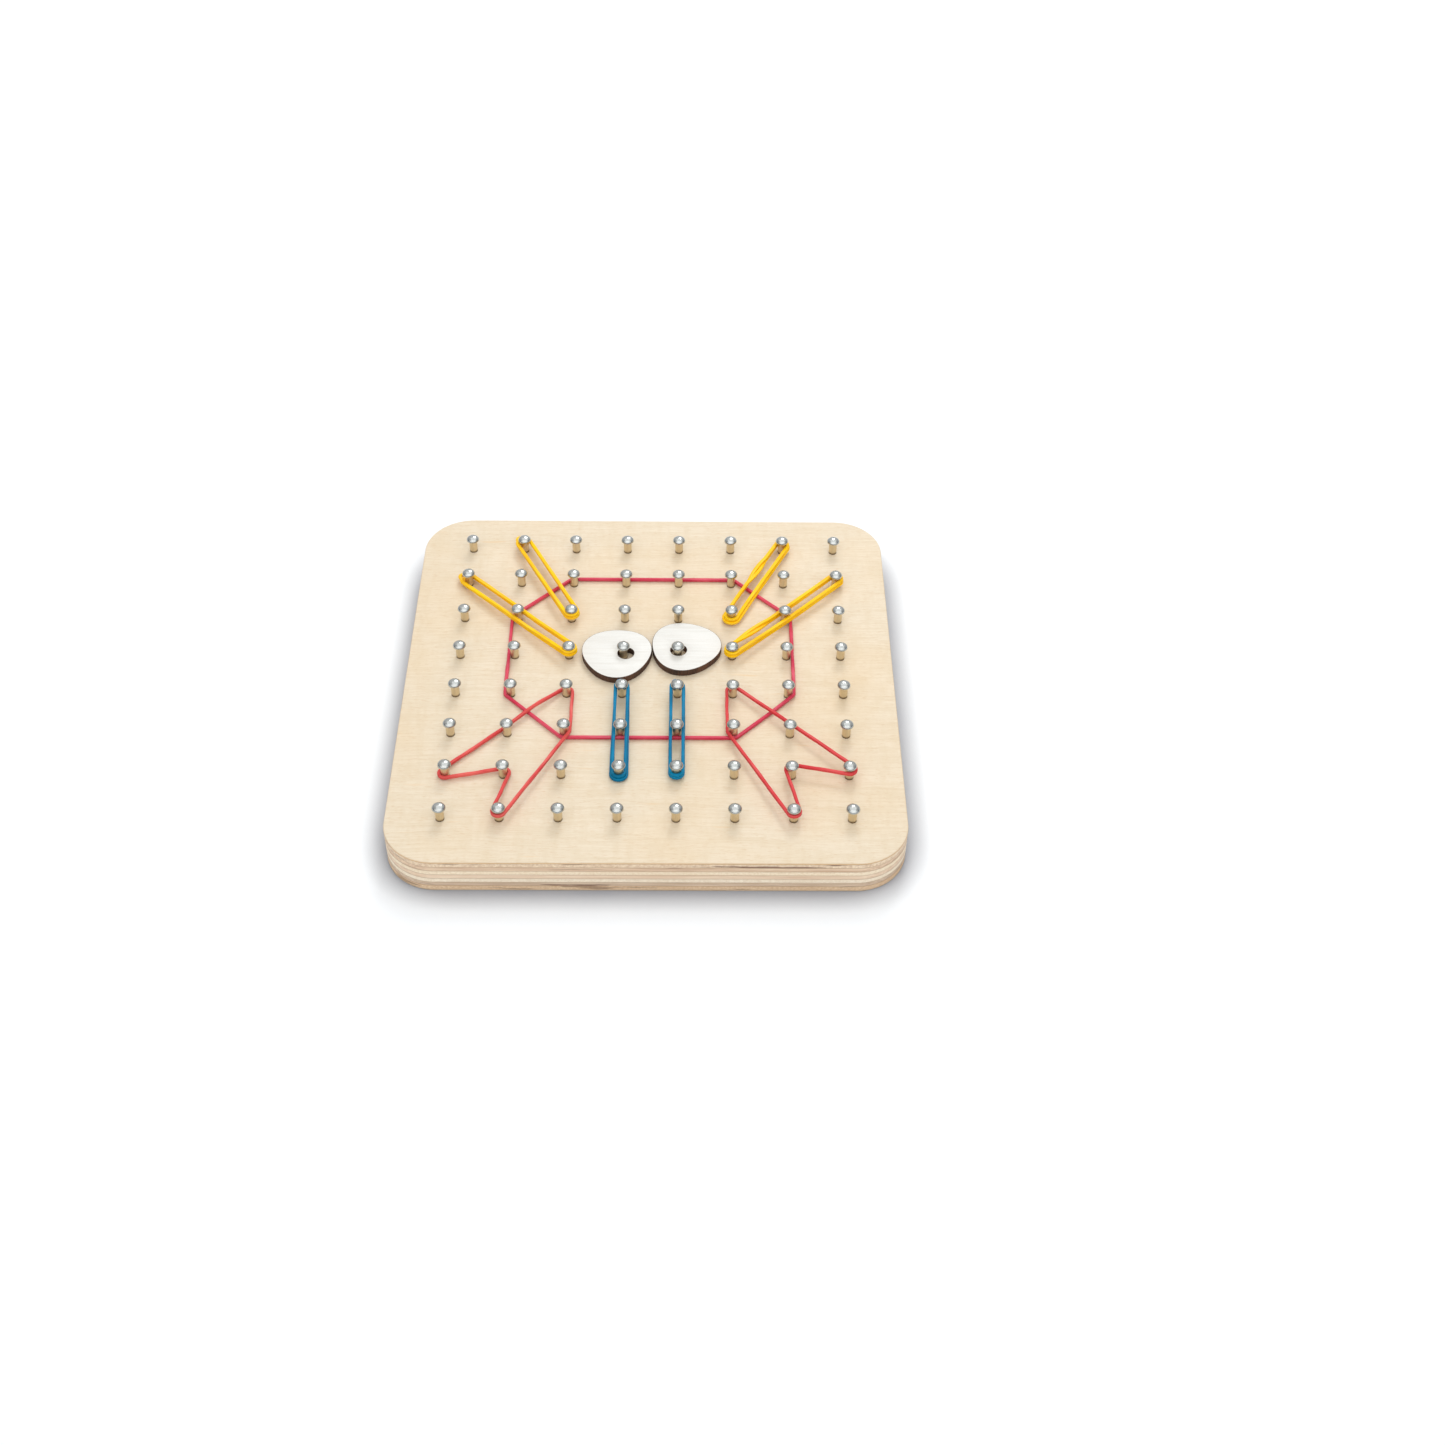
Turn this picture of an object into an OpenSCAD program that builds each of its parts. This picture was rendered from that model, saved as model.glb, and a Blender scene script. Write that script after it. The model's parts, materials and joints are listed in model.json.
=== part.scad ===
// Wooden geoboard: a square plywood board with an eight by eight grid of domed nails,
// rubber bands stretched round the nails in the outline of a crab, and two loose eye discs.
// Millimetres, +Z up. The origin is the middle of the board's underside, and -Y is the front.

/* [Board] */
// Side of the square board
board_side = 178; // [170:1:200]
// Radius of the board's rounded corners
corner_r = 18; // [8:1:25]
// Thickness of one core ply
core_t = 1.9; // [1.7:0.1:2.2]
// Thickness of the veneer on top
veneer_top_t = 0.6; // [0.4:0.1:0.8]
// Thickness of the veneer underneath
veneer_bottom_t = 0.5; // [0.4:0.1:0.8]

/* [Pins] */
// Distance between neighbouring pins
pitch = 20; // [19:0.5:21]
// How far behind the board's middle the pin grid is centred
grid_back = 0.5; // [0:0.5:2]
// Diameter of a nail's shank
shank_d = 3; // [2.8:0.1:3.1]
// Diameter of a nail's head
head_d = 4.8; // [4.6:0.1:4.9]
// Height of the heads' underside above the board
head_lift = 5.3; // [5.2:0.1:5.6]
// Height of a head's upright rim
rim_h = 0.1; // [0.1:0.1:0.3]
// Height of a head's dome above its rim
dome_h = 1.5; // [1.2:0.1:1.8]
// Length of a nail's point
tip_h = 1.5; // [1.2:0.1:1.6]
// Gap between a nail and the wood round it
hole_play = 0.02; // [0.01:0.01:0.05]

/* [Bands] */
// Width of one strand of rubber
band_w = 1.2; // [1:0.1:1.2]
// Width of one strand of a leg band, cut from wider rubber
leg_w = 1.4; // [1.2:0.1:1.4]
// Height of one strand of rubber
band_h = 1.3; // [1.1:0.1:1.3]
// Height of one turn of a doubled band, which is stretched thinner
turn_h = 1.1; // [1:0.1:1.2]
// Gap between a band and the nail that it goes round
band_play = 0.15; // [0.15:0.01:0.2]
// Height of the body band's underside above the board
body_band_lift = 0.2; // [0.1:0.05:0.2]
// Gap where one band passes over another
cross_gap = 0.12; // [0.08:0.01:0.12]

/* [Eye discs] */
// Mean radius of a disc
eye_r = 12.75; // [12.3:0.05:12.8]
// Swell of a disc's three soft lobes
eye_lobe = 0.6; // [0:0.1:0.6]
// Thickness of a disc
eye_t = 2.7; // [2.3:0.1:2.8]
// Diameter of the hole that drops over a pin
eye_hole_d = 6; // [5.8:0.1:6.2]
// Gap under a disc
eye_lift = 0.1; // [0.05:0.05:0.15]

/* [Hidden] */
CORE_PLIES = 7;
PIN_ROWS = 8;

board_t = veneer_top_t + CORE_PLIES * core_t + veneer_bottom_t;
shank_r = shank_d / 2;
head_r = head_d / 2;
PIERCED_PLIES = 4;                       // core plies that a nail's shank goes right through
shank_depth = veneer_top_t + PIERCED_PLIES * core_t;
ROUND = 32;                              // sides of the small round things
CORNER_ROUND = 96;                       // sides of a full circle at the board's corners
DOME_STEPS = 5;

// The bands' level heights above the board: the middle of one strand, or of two stacked.
$wide = band_w;                          // of the strand being laid
function wrap_r() = shank_r + $wide / 2 + band_play;
low = body_band_lift + band_h / 2;
over = low + band_h + cross_gap;
strand_gap = 0.06;
turn_rise = (turn_h + strand_gap) / 2;   // from the middle of two stacked turns to each one
function turn_shift() = ($wide + strand_gap) / 2;  // the same for two turns side by side
stack_over = low + band_h / 2 + turn_h + strand_gap / 2 + cross_gap;
head_gap = 0.27;                         // from the top of a stacked band up to the heads
stack_high = head_lift - turn_h - strand_gap / 2 - head_gap;
ARC_STEP = 30;                           // turn between the rings of a band round a pin
SIDES = 8;                               // sides of a strand's section

// A band is the list of the pins that it goes round, anticlockwise from above:
// [column, row, side, height, heights on the way to the next pin].
// Columns count from the left and rows from the back. Side is 1 where the pin is inside
// the loop and -1 where the band turns back on the pin's outside. A height on the way is
// [part of the way, height].
body_pins = [
    [3, 2, 1, low], [2, 3, 1, low], [2, 4, 1, low], [2, 5, 1, low],
    [3, 6, 1, low], [4, 6, 1, low], [5, 6, 1, low],
    [6, 6, 1, low, [[0.65, low]]], [7, 5, 1, 1.4], [7, 4, 1, low + 0.1],
    [7, 3, 1, low], [6, 2, 1, low], [5, 2, 1, low], [4, 2, 1, low]
];
claw_left_pins = [
    [3, 5, 1, 1.2, [[0.4, over], [0.6, over]]], [2, 6, 1, 1.2], [1, 7, 1, 1.2],
    [2, 7, -1, 1.3], [2, 8, 1, 3.9], [3, 6, 1, over]
];
claw_right_pins = [
    [6, 5, 1, over], [6, 6, 1, over], [7, 8, 1, 4.1],
    [7, 7, -1, 3.7], [8, 7, 1, 3.8], [7, 6, 1, 3.1]
];

// A band wound twice round two pins: its first and last pin, the heights on the way
// between them, and the part of the way at which its two turns change places, or
// BEHIND_PIN where they do so behind the first pin.
BEHIND_PIN = -1;
leg_left_upper = [[2, 1, 3.3], [3, 3, stack_high], [], BEHIND_PIN];
leg_left_lower = [
    [1, 2, 2], [3, 4, stack_high], [[0.38, stack_over], [0.62, stack_over]], BEHIND_PIN
];
leg_right_upper = [[7, 1, stack_over], [6, 3, 2.1], [[0.76, stack_over]], 0.4];
leg_right_lower = [
    [8, 2, 3.1], [6, 4, 3.6], [[0.38, stack_over], [0.58, stack_over]], 0.8
];
mouth_left = [
    [4, 5, stack_high], [4, 7, 1.6], [[0.38, stack_over], [0.62, stack_over]], BEHIND_PIN
];
mouth_right = [
    [5, 5, stack_high], [5, 7, 2.3], [[0.38, stack_over], [0.62, stack_over]], BEHIND_PIN
];
SWAP_SPAN = 0.36;                        // part of the way over which two turns change places
SWAP_STEPS = 6;

// An eye disc: the middle of its outline and of its hole from its pin, and its lobes' turn.
eye_left_at = [-2.4, -0.56];
eye_left_hole = [0.92, -0.9];
eye_left_turn = 32;
eye_right_at = [2.8, 3.09];
eye_right_hole = [0.26, 0.92];
eye_right_turn = 10;
EYE_STEPS = 60;

BIRCH = [0.95, 0.9, 0.8];
PLY_COLOURS = [
    [0.78, 0.62, 0.45], [0.68, 0.47, 0.33], [0.86, 0.79, 0.64], [0.77, 0.61, 0.44],
    [0.88, 0.8, 0.66], [0.72, 0.62, 0.5], [0.8, 0.57, 0.35]
];
CRIMSON = [0.78, 0.2, 0.29];
RED = [0.88, 0.25, 0.25];
CORAL = [0.9, 0.4, 0.36];
YELLOW = [0.97, 0.74, 0.06];
BLUE = [0.08, 0.5, 0.74];

function pin_at(column, row) =
    [(column - (PIN_ROWS + 1) / 2) * pitch, ((PIN_ROWS + 1) / 2 - row) * pitch + grid_back];
function unit(v) = v / norm(v);
function turned_right(v) = [v.y, -v.x];
function flat(lists) = [for (l = lists) each l];
// Angle from a to b, anticlockwise, with a turn of almost 360 read as none
function turn(a, b) = let (t = (b - a) % 360, u = t < 0 ? t + 360 : t) u > 359 ? 0 : u;
function angle_of(v) = atan2(v.y, v.x);

// ---- Board ----

module board_outline() {
    inset = board_side / 2 - corner_r;
    square([board_side, 2 * inset], center = true);
    square([2 * inset, board_side], center = true);
    for (x = [-inset, inset], y = [-inset, inset])
        translate([x, y]) circle(corner_r, $fn = CORNER_ROUND);
}

// One layer of the board, from its underside up
module layer(z, thickness) {
    translate([0, 0, z]) linear_extrude(thickness) board_outline();
}

module at_pins() {
    for (row = [1:PIN_ROWS], column = [1:PIN_ROWS])
        translate([each pin_at(column, row), board_t]) children();
}

module shank_hole() {
    translate([0, 0, -shank_depth]) cylinder(shank_depth + 1, r = shank_r + hole_play, $fn = ROUND);
}

module tip_hole() {
    play = hole_play;
    translate([0, 0, -shank_depth - tip_h - play])
        cylinder(tip_h + play, r1 = play, r2 = shank_r + play, $fn = ROUND);
}

module face_veneer_top() {
    color(BIRCH) difference() {
        layer(board_t - veneer_top_t, veneer_top_t);
        at_pins() shank_hole();
    }
}

// Core plies count from the top; the nails' points end in the one below the pierced ones
module core_ply(i) {
    color(PLY_COLOURS[i - 1]) difference() {
        layer(veneer_bottom_t + (CORE_PLIES - i) * core_t, core_t);
        if (i <= PIERCED_PLIES) at_pins() shank_hole();
        if (i == PIERCED_PLIES + 1) at_pins() tip_hole();
    }
}

module face_veneer_bottom() {
    color(BIRCH) layer(0, veneer_bottom_t);
}

// ---- Pins ----

// A nail from the board's surface: point, shank, and a domed head
module pin() {
    dome_from = head_lift + rim_h;
    rotate_extrude($fn = ROUND) polygon([
        [0, -shank_depth - tip_h], [shank_r, -shank_depth],
        [shank_r, head_lift], [head_r, head_lift],
        for (i = [0:DOME_STEPS])
            let (a = 90 * i / DOME_STEPS) [head_r * cos(a), dome_from + dome_h * sin(a)]
    ]);
}

module pin_row(row) {
    color("silver") for (column = [1:PIN_ROWS])
        translate([each pin_at(column, row), board_t]) pin();
}

// ---- Bands ----

// Where a band leaves pin a and meets pin b, each with its side
function tangent(a, b, side_a, side_b) =
    let (
        along = unit(b - a), out = turned_right(along),
        s = side_a == side_b ? 0 : 2 * wrap_r() / norm(b - a),
        w = sqrt(1 - s * s) * side_a * out + s * along
    )
    side_a == side_b ? [a + wrap_r() * w, b + wrap_r() * w] : [a + wrap_r() * w, b - wrap_r() * w];

// The rings round one pin, from where the band meets it to where it leaves
function arc_points(centre, side, from, to, z) =
    let (
        start = angle_of(from - centre), end = angle_of(to - centre),
        sweep = side > 0 ? turn(start, end) : -turn(end, start),
        n = ceil(abs(sweep) / ARC_STEP)
    )
    [for (k = [0:n]) let (a = start + sweep * k / max(n, 1))
        [centre.x + wrap_r() * cos(a), centre.y + wrap_r() * sin(a), z]];

function ways(pins) = [for (i = [0:len(pins) - 1])
    let (a = pins[i], b = pins[(i + 1) % len(pins)])
    tangent(pin_at(a[0], a[1]), pin_at(b[0], b[1]), a[2], b[2])];

// A single band's route: the arc at each pin, then the heights on the way to the next
function single_route(pins) =
    let (way = ways(pins), n = len(pins))
    flat([for (i = [0:n - 1]) let (p = pins[i], from = way[i][0], to = way[i][1]) concat(
        arc_points(pin_at(p[0], p[1]), p[2], way[(i + n - 1) % n][1], from, p[3]),
        [for (v = len(p) > 4 ? p[4] : []) [each (from + (to - from) * v[0]), v[1]]]
    )]);

// The rings round the first pin of a doubled band. Its two turns are stacked. Where they
// change places there, they do so on the middle half of the arc, and the rising one passes
// outside the falling one.
function first_arc(centre, from, to, z, level, behind) =
    let (start = angle_of(from - centre), sweep = turn(start, angle_of(to - centre)))
    [for (k = [0:SWAP_STEPS]) let (
        a = start + sweep * k / SWAP_STEPS,
        roll = behind ? 180 * min(1, max(0, 2 * k / SWAP_STEPS - 0.5)) : 0,
        r = wrap_r() + (1 - level) * turn_shift() * sin(roll)
    ) [centre.x + r * cos(a), centre.y + r * sin(a), z + level * turn_rise * cos(roll)]];

function reversed_heights(heights) =
    [for (i = [len(heights) - 1:-1:0]) [1 - heights[i][0], heights[i][1]]];

// One turn of a doubled band. It starts on level -1 or 1 and ends on the other one.
function double_turn(band, level) =
    let (
        a = pin_at(band[0][0], band[0][1]), b = pin_at(band[1][0], band[1][1]),
        za = band[0][2], zb = band[1][2], behind = band[3] == BEHIND_PIN,
        out = tangent(a, b, 1, 1), back = tangent(b, a, 1, 1),
        heights = concat([[0, za]], band[2], [[1, zb]]),
        side = turned_right(unit(b - a)),
        swap_from = band[3] - SWAP_SPAN / 2, swap_to = band[3] + SWAP_SPAN / 2,
        before = [for (h = band[2]) if (h[0] < swap_from) h[0]],
        after = [for (h = band[2]) if (h[0] > swap_to) h[0]],
        swap = [for (k = [0:SWAP_STEPS]) if (!behind) swap_from + k / SWAP_STEPS * SWAP_SPAN]
    )
    concat(
        first_arc(a, back[1], out[0], za, level, behind),
        [for (t = concat(before, swap, after)) let (
            roll = 180 * min(1, max(0, (t - swap_from) / SWAP_SPAN)),
            p = out[0] + (out[1] - out[0]) * t + side * level * turn_shift() * sin(roll)
        ) [p.x, p.y, lookup(t, heights) + level * turn_rise * cos(roll)]],
        arc_points(b, 1, out[1], back[0], zb - level * turn_rise),
        [for (h = reversed_heights(band[2]))
            [each (back[0] + (back[1] - back[0]) * h[0]), h[1] - level * turn_rise]]
    );

function double_route(band) = concat(double_turn(band, -1), double_turn(band, 1));

// Flat-sided section of a strand, [sideways, up]
function section(h) = [for (k = [0:SIDES - 1])
    let (a = 360 * (k + 0.5) / SIDES, grow = 1 / cos(180 / SIDES))
    [$wide / 2 * cos(a) * grow, h / 2 * sin(a) * grow]];

// A closed loop of rubber: the section carried along the route
module strand(route, h) {
    n = len(route);
    outline = section(h);
    rings = flat([for (i = [0:n - 1]) let (
        along = unit(unit(route[i] - route[(i + n - 1) % n]) + unit(route[(i + 1) % n] - route[i])),
        aside = unit([along.y, -along.x, 0]),
        up = cross(aside, along)
    ) [for (q = outline) route[i] + aside * q.x + up * q.y]]);
    faces = flat([for (i = [0:n - 1], k = [0:SIDES - 1]) let (
        i2 = (i + 1) % n, k2 = (k + 1) % SIDES,
        a = i * SIDES + k, b = i * SIDES + k2, c = i2 * SIDES + k2, d = i2 * SIDES + k
    ) [[a, b, c], [a, c, d]]]);
    translate([0, 0, board_t]) polyhedron(rings, faces, convexity = 10);
}

module body_band() { color(CRIMSON) strand(single_route(body_pins), band_h); }
module claw_band_left() { color(CORAL) strand(single_route(claw_left_pins), band_h); }
module claw_band_right() { color(RED) strand(single_route(claw_right_pins), band_h); }
module leg_band(band) {
    $wide = leg_w;
    color(YELLOW) strand(double_route(band), turn_h);
}
module mouth_band(band) { color(BLUE) strand(double_route(band), turn_h); }

// ---- Eye discs ----

// A flat disc with three soft lobes and a hole off its middle, both placed from its pin
module eye_disc(pin, at, hole, lobe_turn) {
    color("white") translate([each pin, board_t + eye_lift]) difference() {
        translate(at) linear_extrude(eye_t) polygon([for (i = [0:EYE_STEPS - 1]) let (
            a = 360 * i / EYE_STEPS, r = eye_r + eye_lobe * cos(3 * (a - lobe_turn))
        ) [r * cos(a), r * sin(a)]]);
        translate([each hole, -1]) cylinder(eye_t + 2, d = eye_hole_d, $fn = ROUND);
    }
}

module eye_disc_left() { eye_disc(pin_at(4, 4), eye_left_at, eye_left_hole, eye_left_turn); }
module eye_disc_right() { eye_disc(pin_at(5, 4), eye_right_at, eye_right_hole, eye_right_turn); }

face_veneer_top();
for (i = [1:CORE_PLIES]) core_ply(i);
face_veneer_bottom();
for (i = [1:PIN_ROWS]) pin_row(i);
body_band();
claw_band_left();
claw_band_right();
leg_band(leg_left_upper);  // leg_band_left_upper
leg_band(leg_left_lower);  // leg_band_left_lower
leg_band(leg_right_upper);  // leg_band_right_upper
leg_band(leg_right_lower);  // leg_band_right_lower
mouth_band(mouth_left);  // mouth_band_left
mouth_band(mouth_right);  // mouth_band_right
eye_disc_left();
eye_disc_right();
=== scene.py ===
"""A wooden geoboard: plywood board, domed nails, rubber bands and two eye discs.

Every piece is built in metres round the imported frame, and rides on one of its bodies.
"""
import json
import logging
import math
from collections.abc import Callable
from dataclasses import dataclass, field
from enum import Enum

import bmesh
import bpy
from mathutils import Matrix, Vector


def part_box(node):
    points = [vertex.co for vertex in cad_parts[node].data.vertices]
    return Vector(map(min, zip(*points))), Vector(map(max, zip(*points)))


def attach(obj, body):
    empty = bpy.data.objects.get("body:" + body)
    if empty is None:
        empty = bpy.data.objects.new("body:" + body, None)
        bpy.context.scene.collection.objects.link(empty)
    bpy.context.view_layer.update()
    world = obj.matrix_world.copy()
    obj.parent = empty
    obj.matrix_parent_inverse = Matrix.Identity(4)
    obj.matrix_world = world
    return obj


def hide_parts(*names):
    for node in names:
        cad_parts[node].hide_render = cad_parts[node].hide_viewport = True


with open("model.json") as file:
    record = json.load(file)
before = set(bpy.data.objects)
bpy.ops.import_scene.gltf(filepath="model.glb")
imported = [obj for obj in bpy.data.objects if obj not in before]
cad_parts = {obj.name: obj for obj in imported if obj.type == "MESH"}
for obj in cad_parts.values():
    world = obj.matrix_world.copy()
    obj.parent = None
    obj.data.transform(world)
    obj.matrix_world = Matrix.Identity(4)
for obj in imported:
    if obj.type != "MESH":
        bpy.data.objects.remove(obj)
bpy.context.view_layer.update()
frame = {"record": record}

LOG = logging.getLogger("geoboard")
MM = 0.001
Point = tuple[float, float, float]
Knots = tuple[tuple[float, float], ...]


# ---- Small helpers --------------------------------------------------------------------


def linear(colour: str) -> tuple[float, float, float, float]:
    """Turns an sRGB hex colour into the linear one that shaders take.

    Args:
        colour: Six hex digits, such as "F3E3C6".

    Returns:
        Linear red, green, blue and an alpha of 1.
    """
    def one(part: str) -> float:
        """Linear value of one channel."""
        c = int(part, 16) / 255
        return c / 12.92 if c <= 0.04045 else ((c + 0.055) / 1.055) ** 2.4
    return one(colour[0:2]), one(colour[2:4]), one(colour[4:6]), 1.0


def add(tree: bpy.types.NodeTree, kind: str, links: dict | None = None, **settings: object) -> bpy.types.Node:
    """Adds one shader node, with its settings, its inputs' values and the links into it.

    Args:
        tree: The node tree of the material or world.
        kind: The node's Blender type, such as "ShaderNodeMix".
        links: Input name or index to a value, or to the output socket that feeds it.
        settings: The node's own properties.

    Returns:
        The new node.
    """
    node = tree.nodes.new(kind)
    for name, value in settings.items():
        setattr(node, name, value)
    for name, value in (links or {}).items():
        socket = node.inputs[name]
        if isinstance(value, bpy.types.NodeSocket):
            tree.links.new(value, socket)
        else:
            socket.default_value = value
    return node


def new_material(name: str) -> tuple[bpy.types.Material, bpy.types.NodeTree, bpy.types.Node]:
    """Starts a material.

    Args:
        name: The finish's name.

    Returns:
        The material, its node tree, and its principled shader.
    """
    material = bpy.data.materials.new(name)
    material.use_nodes = True
    tree = material.node_tree
    return material, tree, tree.nodes["Principled BSDF"]


def deselect() -> None:
    """Leaves object mode with nothing selected."""
    if bpy.context.mode != "OBJECT":
        bpy.ops.object.mode_set(mode="OBJECT")
    bpy.ops.object.select_all(action="DESELECT")


def make_active(piece: bpy.types.Object) -> None:
    """Selects one piece alone and makes it the active one."""
    deselect()
    piece.select_set(True)
    bpy.context.view_layer.objects.active = piece


def settle(piece: bpy.types.Object) -> None:
    """Puts a piece's place into its mesh, so that its object sits unturned at the origin."""
    make_active(piece)
    bpy.ops.object.transform_apply(location=True, rotation=True, scale=True)


def apply_modifier(piece: bpy.types.Object, kind: str, **settings: object) -> None:
    """Adds a modifier to a piece and applies it.

    Args:
        piece: The piece that it shapes.
        kind: The modifier's type.
        settings: The modifier's properties.
    """
    make_active(piece)
    modifier = piece.modifiers.new(kind.title(), kind)
    for name, value in settings.items():
        setattr(modifier, name, value)
    bpy.ops.object.modifier_apply(modifier=modifier.name)


def select_in_edit(piece: bpy.types.Object, what: str, test: Callable[..., bool]) -> None:
    """Enters edit mode and selects the faces or edges that pass a test.

    Args:
        piece: The piece to edit.
        what: "FACE" or "EDGE".
        test: Takes a bmesh face or edge and says whether it is wanted.
    """
    make_active(piece)
    bpy.ops.object.mode_set(mode="EDIT")
    bpy.ops.mesh.select_mode(type=what)
    bpy.ops.mesh.select_all(action="DESELECT")
    mesh = bmesh.from_edit_mesh(piece.data)
    for part in mesh.faces if what == "FACE" else mesh.edges:
        if test(part):
            part.select_set(True)
    bmesh.update_edit_mesh(piece.data)


def smooth(piece: bpy.types.Object, degrees: float = 35) -> None:
    """Shades a piece smooth, with edges sharper than the angle kept."""
    make_active(piece)
    bpy.ops.object.shade_smooth_by_angle(angle=math.radians(degrees))


def join(pieces: list[bpy.types.Object], name: str) -> bpy.types.Object:
    """Joins pieces into one with a new name.

    Args:
        pieces: The pieces, of which the first takes in the rest.
        name: The whole's name.

    Returns:
        The whole.
    """
    deselect()
    for piece in pieces:
        piece.select_set(True)
    bpy.context.view_layer.objects.active = pieces[0]
    if len(pieces) > 1:
        bpy.ops.object.join()
    pieces[0].name = pieces[0].data.name = name
    return pieces[0]


def copied(piece: bpy.types.Object, shift: Vector) -> bpy.types.Object:
    """Copies a piece with its own mesh and moves the copy.

    Args:
        piece: The pattern.
        shift: Where the copy goes.

    Returns:
        The copy.
    """
    twin = piece.copy()
    twin.data = piece.data.copy()
    twin.location = shift
    bpy.context.scene.collection.objects.link(twin)
    return twin


def place(piece: bpy.types.Object, body: str, nodes: list[str]) -> None:
    """Hands a finished piece to the frame.

    Args:
        piece: The finished piece.
        body: The body that it rides on.
        nodes: The CAD nodes that it stands for.
    """
    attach(piece, body)
    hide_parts(*nodes)
    LOG.info("%s rides on %s: %d faces", piece.name, body, len(piece.data.polygons))


# ---- Finishes -------------------------------------------------------------------------


class Grain(Enum):
    """The way that a ply's grain runs."""

    ALONG_X = (0.04, 1.0, 1.0)
    ALONG_Y = (1.0, 0.04, 1.0)


@dataclass(frozen=True)
class BasswoodFace:
    """Rotary-cut basswood veneer, sanded and left clear: pale, matt, with faint long grain."""

    # The flecks are drawn coarser than real vessel lines, which would be too fine to show
    name: str = "sanded_basswood_face"
    pale: str = "E1D3BC"
    streak: str = "D8C7AB"
    warm: str = "DEBF90"
    fleck: str = "CDAF86"
    side: str = "D2A876"
    streak_mm: float = 0.9
    fleck_mm: float = 0.28
    smudge_mm: float = 2.4
    mottle_mm: float = 2.6
    wander_mm: float = 30.0
    patch_mm: float = 45.0

    def material(self) -> bpy.types.Material:
        """Builds the veneer's material."""
        material, tree, shader = new_material(self.name)
        place_on = add(tree, "ShaderNodeTexCoord").outputs["Object"]
        wander = add(tree, "ShaderNodeTexNoise",
                     {"Vector": place_on, "Scale": 1 / (self.wander_mm * MM), "Detail": 2.0})
        bent = add(tree, "ShaderNodeMixRGB", {
            "Fac": 0.004, "Color1": place_on, "Color2": wander.outputs["Color"]})
        long_way = add(tree, "ShaderNodeMapping", {"Vector": bent.outputs[0], "Scale": (0.035, 1, 1)})
        streaks = add(tree, "ShaderNodeTexNoise", {
            "Vector": long_way.outputs[0], "Scale": 1 / (self.streak_mm * MM),
            "Detail": 5.0, "Roughness": 0.6})
        fleck_way = add(tree, "ShaderNodeMapping", {"Vector": place_on, "Scale": (0.14, 1, 1)})
        flecks = add(tree, "ShaderNodeTexNoise", {
            "Vector": fleck_way.outputs[0], "Scale": 1 / (self.fleck_mm * MM), "Detail": 2.0})
        patches = add(tree, "ShaderNodeTexNoise", {
            "Vector": place_on, "Scale": 1 / (self.patch_mm * MM), "Detail": 3.0})
        streak_mask = add(tree, "ShaderNodeMapRange", {
            "Value": streaks.outputs["Fac"], "From Min": 0.38, "From Max": 0.72})
        fleck_mask = add(tree, "ShaderNodeMapRange", {
            "Value": flecks.outputs["Fac"], "From Min": 0.55, "From Max": 0.75, "To Max": 0.55})
        patch_mask = add(tree, "ShaderNodeMapRange", {
            "Value": patches.outputs["Fac"], "From Min": 0.45, "From Max": 0.85, "To Max": 0.4})
        smudge_way = add(tree, "ShaderNodeMapping", {"Vector": bent.outputs[0], "Scale": (0.1, 1, 1)})
        smudges = add(tree, "ShaderNodeTexNoise", {
            "Vector": smudge_way.outputs[0], "Scale": 1 / (self.smudge_mm * MM), "Detail": 1.5})
        smudge_mask = add(tree, "ShaderNodeMapRange", {
            "Value": smudges.outputs["Fac"], "From Min": 0.7, "From Max": 0.8, "To Max": 0.55})
        cross_way = add(tree, "ShaderNodeMapping", {"Vector": place_on, "Scale": (1, 0.3, 1)})
        mottles = add(tree, "ShaderNodeTexNoise", {
            "Vector": cross_way.outputs[0], "Scale": 1 / (self.mottle_mm * MM), "Detail": 3.0})
        mottle_mask = add(tree, "ShaderNodeMapRange", {
            "Value": mottles.outputs["Fac"], "From Min": 0.45, "From Max": 0.7, "To Max": 0.55})
        colour = add(tree, "ShaderNodeMixRGB", {
            "Fac": streak_mask.outputs[0], "Color1": linear(self.pale), "Color2": linear(self.streak)})
        for mask, tint in ((mottle_mask, self.streak), (patch_mask, self.warm),
                           (fleck_mask, self.fleck), (smudge_mask, self.warm)):
            colour = add(tree, "ShaderNodeMixRGB", {
                "Fac": mask.outputs[0], "Color1": colour.outputs[0], "Color2": linear(tint)})
        # The cut side of the veneer is browner than its face
        facing = add(tree, "ShaderNodeSeparateXYZ", {
            "Vector": add(tree, "ShaderNodeNewGeometry").outputs["Normal"]}).outputs["Z"]
        steep = add(tree, "ShaderNodeMath", {0: facing}, operation="ABSOLUTE")
        side = add(tree, "ShaderNodeMapRange", {
            "Value": steep.outputs[0], "From Min": 0.85, "From Max": 0.3, "To Max": 0.8})
        colour = add(tree, "ShaderNodeMixRGB", {
            "Fac": side.outputs[0], "Color1": colour.outputs[0], "Color2": linear(self.side)})
        tree.links.new(colour.outputs[0], shader.inputs["Base Color"])
        rough = add(tree, "ShaderNodeMapRange", {
            "Value": streaks.outputs["Fac"], "To Min": 0.5, "To Max": 0.66})
        tree.links.new(rough.outputs[0], shader.inputs["Roughness"])
        fine = add(tree, "ShaderNodeBump", {
            "Height": flecks.outputs["Fac"], "Strength": 0.25, "Distance": 0.04 * MM})
        bump = add(tree, "ShaderNodeBump", {
            "Height": streaks.outputs["Fac"], "Strength": 0.35, "Distance": 0.06 * MM,
            "Normal": fine.outputs[0]})
        tree.links.new(bump.outputs[0], shader.inputs["Normal"])
        return material


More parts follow.
